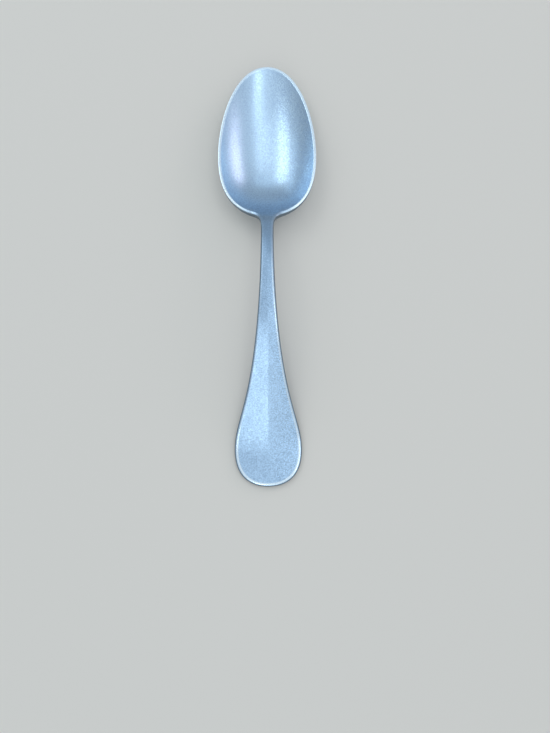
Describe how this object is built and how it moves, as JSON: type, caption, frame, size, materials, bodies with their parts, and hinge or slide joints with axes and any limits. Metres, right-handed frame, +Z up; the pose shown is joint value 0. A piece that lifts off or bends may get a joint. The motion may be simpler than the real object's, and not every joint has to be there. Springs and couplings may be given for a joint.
{
  "type": "dessert spoon",
  "caption": "Dessert spoon in tumbled stainless steel, with an egg-shaped bowl, a slim neck and a flat handle that widens to a round end.",
  "frame": {"origin": "on the table, under the middle of the spoon's length and width, with the spoon lying on its back", "axes": "+Y along the spoon to the tip of the bowl, +X across it, +Z up out of the bowl's mouth"},
  "size_m": [0.0416, 0.18, 0.0198],
  "materials": {
    "steel": "tumbled stainless steel, matte and finely speckled, with brighter worn edges"
  },
  "bodies": {
    "root": {"spoon": "steel"}
  },
  "joints": []
}
